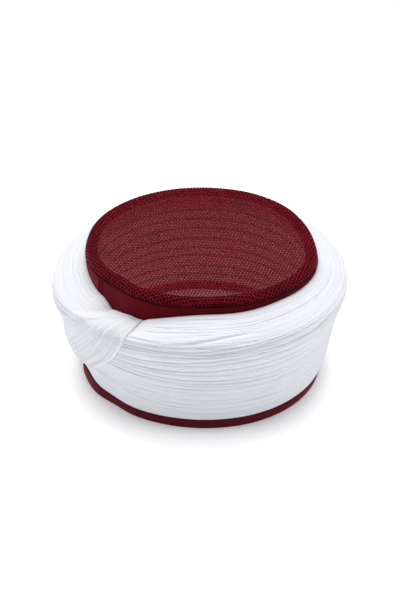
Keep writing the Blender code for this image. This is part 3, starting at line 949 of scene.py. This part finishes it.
# %% Crossings
# Angle and place along at the start, the same at the end, and the height in metres.
CROSSINGS = (
    (236, 0.792, 257, 0.772, 0.0009), (255, 0.768, 292, 0.842, 0.0012),
    (300, 0.905, 372, 0.880, 0.0004), (40, 0.860, 105, 0.790, 0.0008),
    (100, 0.700, 165, 0.850, 0.0010), (150, 0.420, 196, 0.560, 0.0009),
    (20, 0.360, 80, 0.470, 0.0007), (300, 0.230, 350, 0.300, 0.0006),
    (170, 0.780, 208, 0.690, 0.0009),
)
CROSSING_REACH, CROSSING_FOOT = 0.050, 0.012


def crossing_relief(angle, along):
    """Low steps along slanting lines. With x the distance above the line, a step is
    a smooth rise over its foot that dies away as exp(-x / reach), less a narrow
    groove just below the line, a bell as wide as the foot."""
    total = np.zeros_like(along)
    for start, low, end, high, height in CROSSINGS:
        share = ((angle - start) % 360) / (end - start)
        line = low + (high - low) * (3 * share ** 2 - 2 * share ** 3)
        ends = np.sin(np.pi * np.clip(share, 0, 1)) ** 0.8
        above = along - line[:, None]
        fading = np.exp(-np.maximum(above, 0) / CROSSING_REACH)
        step = smooth_step(above / CROSSING_FOOT + 0.5) * fading
        groove = 0.7 * bell(above, -CROSSING_FOOT * 0.4, CROSSING_FOOT)
        total += height * ends[:, None] * (step - groove)
    return total


print("crossings:", len(CROSSINGS))

# %% [markdown]
# Where the cloth's free end lies over the wound cloth, the two would poke through
# each other, so the place of that end is settled first. There the wound cloth keeps
# to its form, without pleats, and the end lies close on it.

# %% Place of the tucked end
SOFT_BORDER, BORDER_GAP = 0.05, 0.02

# Station, then angle and place along of the upper border, the middle and the lower
# border, then how thick the cloth is there and how deep its folds, as shares.
TUCK = np.array([
    (0.00, 148.0, 0.420, 148.5, 0.380, 149.0, 0.330, 0.16, 0.00),
    (0.12, 166.0, 0.460, 168.0, 0.370, 170.0, 0.270, 0.50, 0.15),
    (0.24, 180.0, 0.500, 186.0, 0.370, 191.0, 0.225, 0.76, 0.30),
    (0.36, 190.0, 0.550, 200.0, 0.380, 208.0, 0.190, 1.00, 0.50),
    (0.46, 200.0, 0.620, 211.5, 0.420, 221.0, 0.225, 1.08, 0.75),
    (0.56, 209.5, 0.715, 221.0, 0.550, 230.4, 0.400, 0.96, 0.95),
    (0.66, 218.0, 0.830, 229.0, 0.700, 237.4, 0.585, 0.82, 1.00),
    (0.75, 221.5, 0.940, 233.0, 0.830, 241.8, 0.735, 0.72, 1.00),
    (0.83, 224.5, 1.000, 234.5, 0.905, 242.4, 0.805, 0.66, 0.90),
    (0.91, 230.5, 1.000, 236.8, 0.945, 242.5, 0.880, 0.54, 0.75),
    (0.96, 235.5, 1.000, 239.0, 0.970, 242.4, 0.935, 0.36, 0.40),
    (1.00, 242.4, 1.000, 242.6, 0.992, 242.8, 0.985, 0.10, 0.20),
])


def under_tuck(angle, along):
    """1 where the wound cloth lies under the tucked end, 0 outside its borders."""
    upper = np.interp(angle, TUCK[:, 1], TUCK[:, 2])[:, None]
    lower = np.interp(angle, TUCK[:, 5], TUCK[:, 6])[:, None]
    below = np.clip((upper - along) / SOFT_BORDER, 0, 1)
    above = np.clip((along - lower - BORDER_GAP) / SOFT_BORDER, 0, 1)
    turned = (angle > TUCK[0, 1]) & (angle < TUCK[-1, 5])
    return below * above * turned[:, None]


print("tucked end: from", TUCK[0, 1], "to", TUCK[-1, 5], "degrees")

# %% [markdown]
# Now the wound cloth is one grid: its outside carries the main folds, the fine
# pleats between them and the crossings, and a few plain rows close it along the
# wall. The pleats are calmer at the front right and towards the top, where the cloth
# is pulled taut.

# %% Wound cloth
WRAP_COLUMNS, WRAP_ROWS, WRAP_BACK_ROWS = 336, 272, 10
FINE_PLEATS, FINE_DEPTH = 46, 0.00035
FULLNESS = 0.0010
WRAP_STEP, WRAP_EDGE_FADE = 0.02, 0.02


def wrap_relief(angle, along):
    """All that is pressed into the form: folds, fine pleats and crossings."""
    ends = np.zeros((1, len(angle)))
    grooves = np.concatenate([ends, fold_places(angle), ends + 1])
    change = slow_waves(len(FOLDS), angle, waves=4, seed=11)
    depths = FOLDS[:, :1] * FOLD_DEPTH * (0.9 + 0.35 * change)
    quiet = 1 - 0.5 * near(angle, middle=328, width=32)
    depths = np.concatenate([ends, np.maximum(depths, 0) * quiet, ends])
    relief = pleat_relief(along, grooves, depths, roundness=6.0)
    fine = random_grooves(FINE_PLEATS, angle, seed=21, unevenness=0.5, waves=4)
    change = slow_waves(FINE_PLEATS + 1, angle, waves=5, seed=31)
    fine_depths = FINE_DEPTH * quiet * np.clip(0.7 + change, 0, 2)
    relief = relief + pleat_relief(along, fine, fine_depths, roundness=4.5) + FULLNESS
    edge_fade = np.clip(np.minimum(along, 1 - along) / WRAP_EDGE_FADE, 0, 1)
    calm = (0.15 + 0.25 * near(angle, middle=335, width=40))[:, None]
    calm = calm * smooth_step(along, start=0.70, width=0.1)
    return (relief * (1 - calm) + crossing_relief(angle, along)) * edge_fade


wrap_angles = ring_angles(WRAP_COLUMNS)
wrap_along = np.linspace(0, 1, WRAP_ROWS)
at_angle, at_along = np.meshgrid(wrap_angles, wrap_along, indexing="ij")
wound_relief = wrap_relief(wrap_angles, at_along)
uncovered = 1 - under_tuck(wrap_angles % 360, at_along)
outside = on_form(wrap_form, at_angle, at_along, WRAP_STEP, wound_relief * uncovered)
back_share = np.linspace(0, 1, WRAP_BACK_ROWS + 2)[1:-1]
back_height = wrap_edge(at_angle[:, :1]) * (1 - back_share) + WRAP_LOW * back_share
inside = ring_grid(at_angle[:, :1], wall_radius(at_angle[:, :1], back_height) + CLEAR, back_height)
wrap = make_ring("wound_cloth", np.concatenate([outside, inside], 1).transpose(1, 0, 2))
dress(wrap, WHITE_CLOTH, "white_cloth", "wrap")

# %% [markdown]
# The free end of the cloth comes up over the shoulder at the left and is tucked in
# beside the wall at the front left. Its pleats fan out from the tip. It is a slab
# whose two long borders are tables of angles and places on the form, its pleats run
# along it, and its right hand border is rolled.

# %% Tucked end
TUCK_THICK, TUCK_LEAST = 0.0068, 0.0003
TUCK_ROWS, TUCK_ACROSS = 300, 125
TUCK_LONG, TUCK_WIDE, TUCK_TURN = 0.15, 0.06, 150
TUCK_FOLDS, TUCK_FOLD_DEPTH = 14, 0.0012
TUCK_FINE, TUCK_FINE_DEPTH = 38, 0.0008
EDGE_ROLL, EDGE_PLACE, EDGE_SPREAD = 0.0015, 0.965, 0.025
TUCK_GAP, TUCK_SINK, TAIL_SINK = 0.0006, 0.0009, 0.0026
TUCK_SPREAD, TUCK_STEP = 0.07, 0.03


def wound_at(angle, along):
    """The wound cloth's relief at any place, read between the points of its grid."""
    i = (angle - wrap_angles[0]) * WRAP_COLUMNS / 360
    j = along * (WRAP_ROWS - 1)
    i0, j0 = i.astype(int), np.minimum(j.astype(int), WRAP_ROWS - 2)
    s, t = i - i0, j - j0
    before = wound_relief[i0, j0] * (1 - t) + wound_relief[i0, j0 + 1] * t
    after = wound_relief[i0 + 1, j0] * (1 - t) + wound_relief[i0 + 1, j0 + 1] * t
    return before * (1 - s) + after * s


def soft_form(angle, along, soft):
    """The wound cloth's form with its shoulder evened out where soft is 1: the mean
    of seven places within the spread."""
    steps = TUCK_SPREAD * np.linspace(-1, 1, 7)
    forms = np.array([wrap_form(angle, np.clip(along + step, 0, 1)) for step in steps])
    return wrap_form(angle, along) * (1 - soft) + forms.mean(0) * soft


# Place along, and there the angles of six pleats, evenly numbered from first to last.
PLEAT_LINES = np.array([
    (0.00, 152.3, 171.1, 180.8, 187.8, 193.2, 196.6),
    (0.20, 169.3, 188.1, 197.8, 204.8, 210.2, 213.6),
    (0.30, 178.3, 195.1, 204.8, 211.8, 217.2, 220.6),
    (0.40, 187.4, 202.1, 211.8, 218.8, 224.2, 227.6),
    (0.50, 196.5, 209.1, 217.9, 224.3, 229.0, 233.1),
    (0.60, 205.5, 214.8, 223.1, 228.5, 233.0, 236.9),
    (0.70, 214.4, 221.7, 227.7, 232.6, 236.4, 239.7),
    (0.80, 223.1, 225.5, 231.1, 235.9, 238.8, 241.6),
    (0.90, 224.0, 231.2, 234.0, 237.0, 239.8, 242.6),
    (1.00, 236.3, 238.2, 239.8, 241.4, 243.0, 244.6),
])


def pleat_number(angle, along):
    """Which pleat a point lies on, from 0 at the first to 1 at the last: the sum of
    how far its angle lies across each space between two pleats of the table."""
    lines = [smooth_curve(along, PLEAT_LINES[:, 0], column) for column in PLEAT_LINES[:, 1:].T]
    spaces = zip(lines, lines[1:])
    shares = [np.clip((angle - low) / (high - low), 0, 1) for low, high in spaces]
    return sum(shares) / len(shares)


def tuck_relief(station, pleat, along, fold):
    """Folds and fine pleats along the tucked end, shallower past the shoulder."""
    turn, fold = station[:, 0] * TUCK_TURN, fold[:, 0]
    grooves = random_grooves(TUCK_FOLDS, turn, seed=43, unevenness=0.35, waves=5)
    change = slow_waves(TUCK_FOLDS + 1, turn, waves=5, seed=47)
    depths = TUCK_FOLD_DEPTH * fold * (0.8 + 0.4 * change)
    depths[0], depths[-1] = 0, 0
    fine = random_grooves(TUCK_FINE, turn, seed=53, unevenness=0.3, waves=4)
    change = slow_waves(TUCK_FINE + 1, turn, waves=3, seed=59)
    fine_depths = TUCK_FINE_DEPTH * fold * np.clip(0.9 + 0.7 * change, 0, 2)
    relief = (pleat_relief(pleat, grooves, depths, roundness=2.6)
              + pleat_relief(pleat, fine, fine_depths, roundness=2.4))
    return relief * (1 - 0.55 * smooth_step(along, start=0.66, width=0.18))


def tuck_body(station, across):
    """Shares from 0 to 1, as grids: the section's height, how far the pleats have
    risen behind the upper border, and how crisp the lower border is. The section
    rises from the upper border, sooner near the wall, and ends softly where the
    cloth comes from under the folds, and in a steep border nearer the tip."""
    crisp = smooth_step(station, start=0.53, width=0.18)
    at_wall = smooth_step(station, start=0.64, width=0.16)
    border = 1 - 0.58 * smooth_step(across, start=0.5, width=0.5)
    border = border * np.clip((1 - across) / 0.02, 0, 1) ** 0.5
    rise = smooth_step(across, 0, 0.62 - 0.54 * at_wall)
    body = rise * (crisp * border + (1 - crisp) * smooth_step(1 - across, 0, 0.24))
    return body, rise, crisp


def tuck_grids():
    """Upper and lower faces of the tucked end and its UV map, as grids along and
    across it. Across it, a place is a parabola through the upper border, the middle
    and the lower border."""
    station = np.linspace(0, 1, TUCK_ROWS)[:, None]
    across = np.linspace(0, 1, TUCK_ACROSS)[None, :] + 0 * station
    columns = [smooth_curve(station, TUCK[:, 0], column) for column in TUCK[:, 1:].T]
    up_angle, up_along, mid_angle, mid_along, low_angle, low_along, thick, fold = columns
    first, second = (1 - across) * (1 - 2 * across), 4 * across * (1 - across)
    third = across * (2 * across - 1)
    angle = up_angle * first + mid_angle * second + low_angle * third
    along = np.minimum(up_along * first + mid_along * second + low_along * third, 1)
    pleat = pleat_number(angle, along)
    relief = tuck_relief(station, pleat, along, fold)
    body, rise, crisp = tuck_body(station, across)
    roll = EDGE_ROLL * bell(across, EDGE_PLACE, EDGE_SPREAD) * crisp
    relief = relief * rise * smooth_step(1 - across, 0, 0.06)
    top = TUCK_THICK * thick * body + relief + roll * thick
    top = top + wound_at(angle, along) * (1 - smooth_step(across, 0, 0.2))
    ends = bell(across, 0, 0.06) + (1 - crisp) * bell(1 - across, 0, 0.06)
    low = TUCK_GAP - np.maximum(TUCK_SINK * ends, TAIL_SINK * smooth_step(1 - station / 0.1))
    soft = smooth_step(across, 0, 0.35) * smooth_step(1 - across, 0, 0.25)

    def form(angle, along):
        return soft_form(angle, along, soft)
    over = on_form(form, angle, along, TUCK_STEP, low + np.maximum(top, TUCK_LEAST))
    under = on_form(form, angle, along, TUCK_STEP, low)
    return over, under, np.stack([station * TUCK_LONG + 0 * pleat, pleat * TUCK_WIDE], -1)


def slab(name, over, under, uv):
    """One closed shell from two grids, the second lying under the first. uv has a
    pair for each point of the grids."""
    rows, columns = over.shape[:2]
    across = np.concatenate([over, under[:, ::-1]], 1)
    quads, _ = grid_faces(rows, 2 * columns, close_rows=False)
    points = across.reshape(-1, 3)
    ends = []
    for row in (0, rows - 1):
        left = row * 2 * columns + np.arange(columns - 1)
        right = row * 2 * columns + 2 * columns - 1 - np.arange(columns - 1)
        cap = np.stack([left, left + 1, right - 1, right], -1)
        ends.append(cap if row else cap[:, ::-1])
    quads = np.concatenate([quads] + ends)
    uv = np.concatenate([uv, uv[:, ::-1]], 1).reshape(-1, 2)
    return make_mesh(name, points, quads, uv[quads])


tuck = slab("tucked_end", *tuck_grids())
dress(tuck, WHITE_CLOTH, "white_cloth", "tuck")

# %% [markdown]
# The cap is sewn from strips of cloth and one round of net, the narrow strips sewn
# to the wide ones. What shows of the white cloth is many layers thick, so it counts
# as padded.

# %% [markdown]
# The photograph is a bright product picture: a white floor that runs on into a
# white background, a wide light from above and one at each side. The floor also
# glows, as painted light, and its glow is dimmed round the hem in a soft oval that
# reaches a little further to the front: a painted shadow, added to the shadow that
# the lamps cast.

# %% Floor and light
def area_light(name, place, size, power, colour=WHITE):
    """A square soft light that faces the turban."""
    lamp = bpy.data.lights.new(name, "AREA")
    lamp.shape, lamp.size, lamp.energy, lamp.color = "SQUARE", size, power, colour
    light = bpy.data.objects.new(name, lamp)
    light.location = place
    light.rotation_euler = (AIM - Vector(place)).to_track_quat("-Z", "Y").to_euler()
    bpy.context.scene.collection.objects.link(light)


FLOOR_HALF, FLOOR_GREY, FLOOR_GLOW = 3.0, 0.92, 0.335
# The floor's glow is dimmed within an oval round the hem, squashed at the sides and shifted to the
# front: a painted shadow.
PAINTED_SHADOW_FROM_TO, PAINTED_SHADOW_GLOW = (0.085, 0.155), (0.50, 0.50, 0.50)
PAINTED_SHADOW_SQUASH, PAINTED_SHADOW_SHIFT = (1.25, 1.0, 1.0), (0.0, 0.035, 0.0)
SKY_SEEN, SKY_LIGHT, SKY_COLOUR = 1.05, 0.315, (0.95, 0.97, 1.01)
floor_points = np.array([(-1, -1, 0), (1, -1, 0), (1, 1, 0), (-1, 1, 0)]) * FLOOR_HALF
floor = make_mesh("floor", floor_points, np.array([[0, 1, 2, 3]]))
floor_glow_and_shadow, floor_shader, floor_start = new_finish("floor_glow_and_shadow", roughness=0.9, sheen=0.0)
floor_shader.inputs["Base Color"].default_value = (FLOOR_GREY, FLOOR_GREY, FLOOR_GREY, 1)
floor_shader.inputs["Emission Strength"].default_value = FLOOR_GLOW
# The floor glows as painted light: dimmer near the turban as a painted shadow, and full further
# out.
place = floor_start.make("ShaderNodeTexCoord", output="Object")
oval = place.make("ShaderNodeVectorMath", {"operation": "MULTIPLY_ADD"},
                  {0: place, 1: PAINTED_SHADOW_SQUASH, 2: PAINTED_SHADOW_SHIFT})
far = oval.make("ShaderNodeVectorMath", {"operation": "LENGTH"}, {0: oval}, output="Value")
feed(far.between(*PAINTED_SHADOW_FROM_TO).mix(PAINTED_SHADOW_GLOW, WHITE), floor_shader, "Emission Color")
floor.data.materials.append(floor_glow_and_shadow)

area_light("light_above", (0.0, 0.06, 1.4), size=1.2, power=19.7, colour=(1.0, 0.985, 0.965))
area_light("light_left", (-1.1, -0.1, 0.55), size=0.7, power=2.15)
area_light("light_right", (1.1, -0.1, 0.55), size=0.7, power=2.15)

world = bpy.data.worlds.new("studio")
bpy.context.scene.world = world
world.use_nodes = True
sky = Wire(world.node_tree)
background = world.node_tree.nodes["Background"]
seen = sky.make("ShaderNodeLightPath", output="Is Camera Ray")
feed(seen * SKY_SEEN + (1 - seen) * SKY_LIGHT, background, "Strength")
background.inputs["Color"].default_value = (*SKY_COLOUR, 1)
bpy.context.scene.view_settings.view_transform = "Standard"
